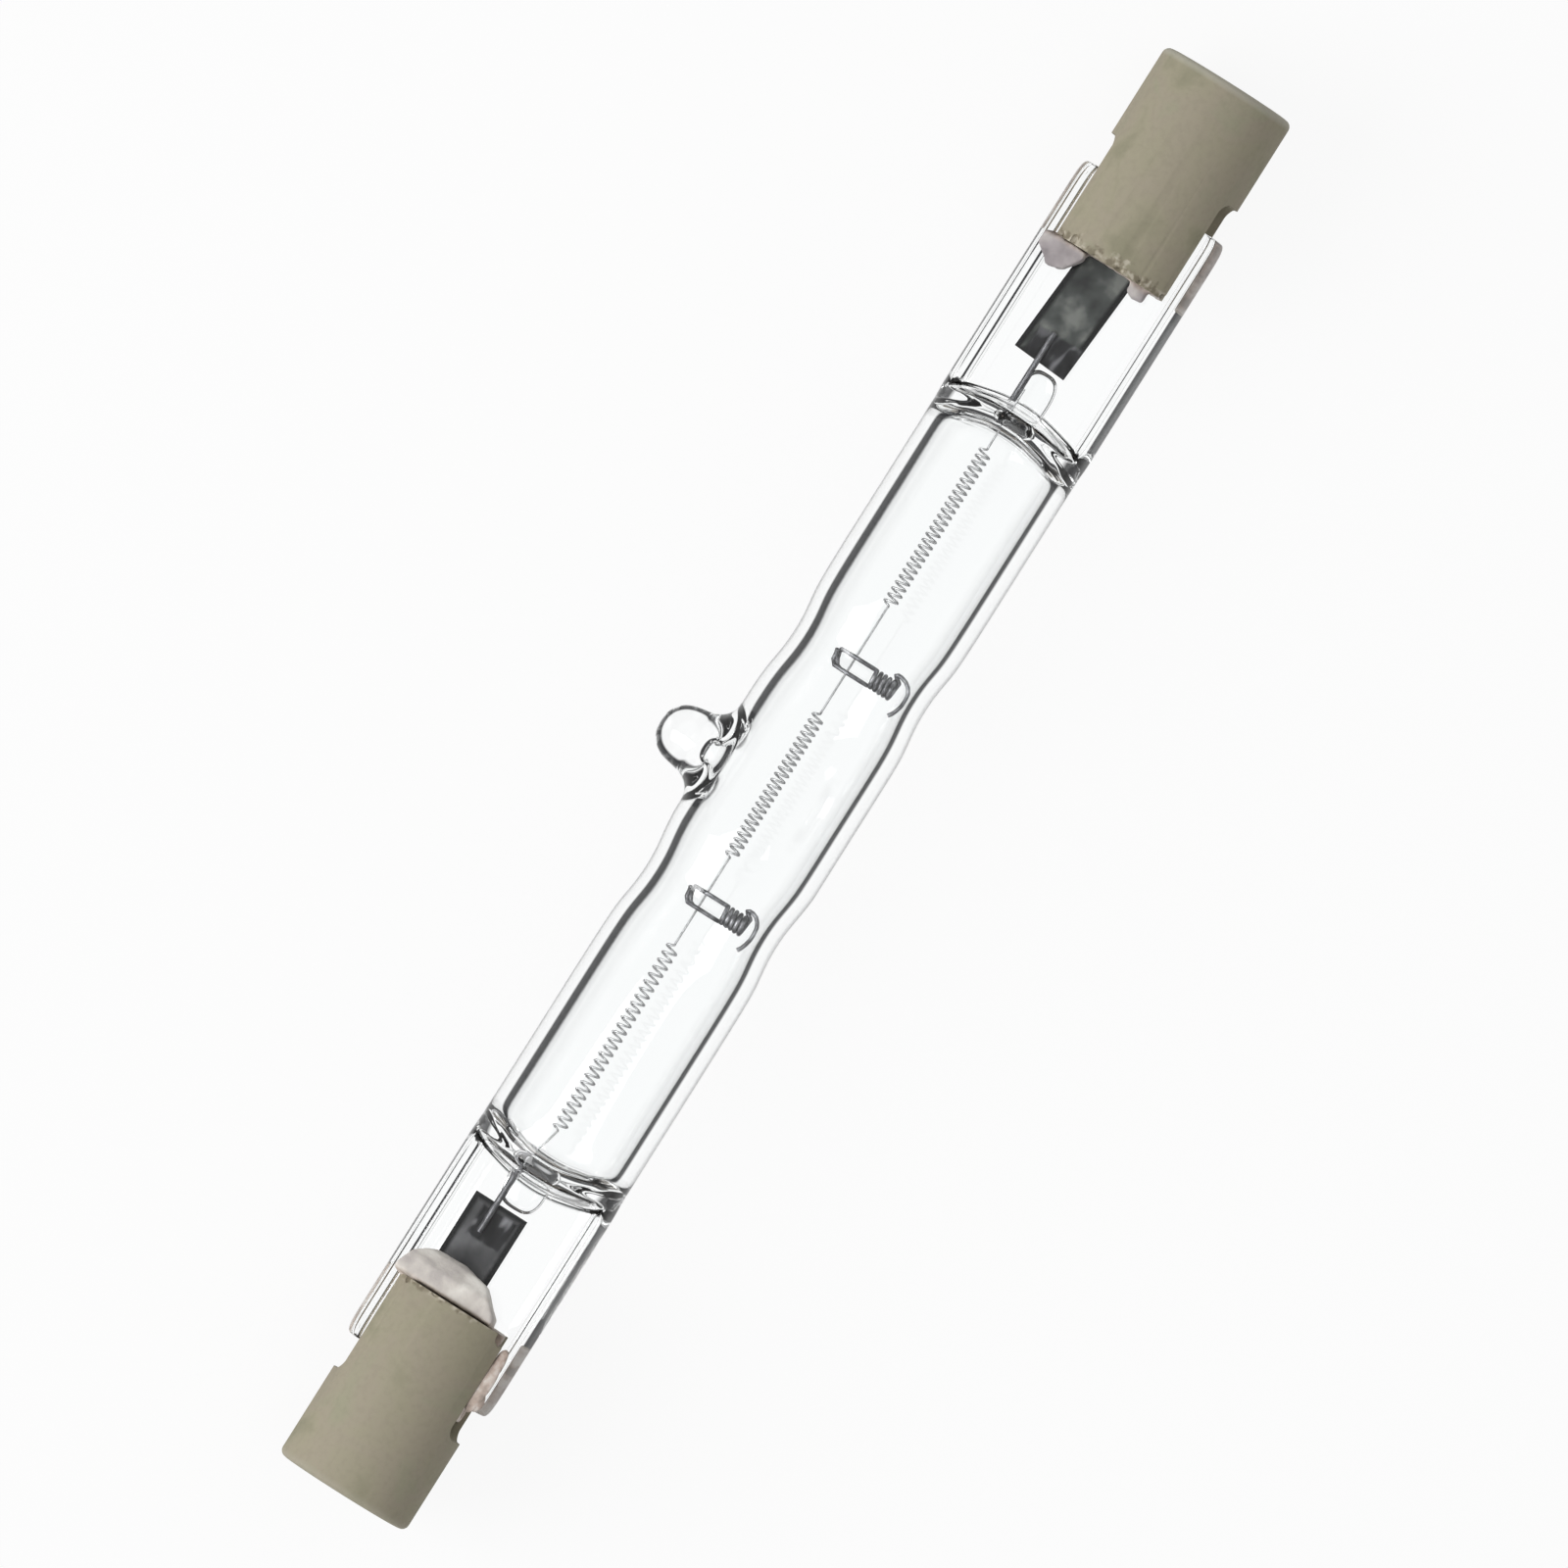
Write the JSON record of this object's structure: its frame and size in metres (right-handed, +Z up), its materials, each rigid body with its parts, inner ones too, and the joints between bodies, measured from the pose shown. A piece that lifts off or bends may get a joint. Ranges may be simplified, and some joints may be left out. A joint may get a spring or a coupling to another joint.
{
  "type": "linear halogen bulb",
  "caption": "Double-ended linear halogen bulb: clear quartz tube with a coiled filament, flat pinch seals and ceramic end caps with recessed contacts.",
  "frame": {"origin": "on the axis of the tube, half-way between the ends of the two caps", "axes": "+X along the tube axis from the left cap to the right cap, +Z up with the bulb lying on its tube and on the tip of its exhaust nub, which points to +Y and down"},
  "size_m": [0.0782, 0.0101, 0.0078],
  "materials": {
    "quartz": "polished",
    "steatite": "matte",
    "cement": "matte",
    "molybdenum": "satin",
    "tungsten": "satin",
    "contact_metal": "satin"
  },
  "bodies": {
    "root": {"glass_envelope": "quartz", "filament": "tungsten", "ceramic_cap_left": "steatite", "contact_left": "contact_metal", "cement_left": "cement", "foil_left": "molybdenum", "outer_lead_left": "molybdenum", "inner_lead_left": "molybdenum", "filament_support_left": "tungsten", "ceramic_cap_right": "steatite", "contact_right": "contact_metal", "cement_right": "cement", "foil_right": "molybdenum", "outer_lead_right": "molybdenum", "inner_lead_right": "molybdenum", "filament_support_right": "tungsten"}
  },
  "joints": []
}
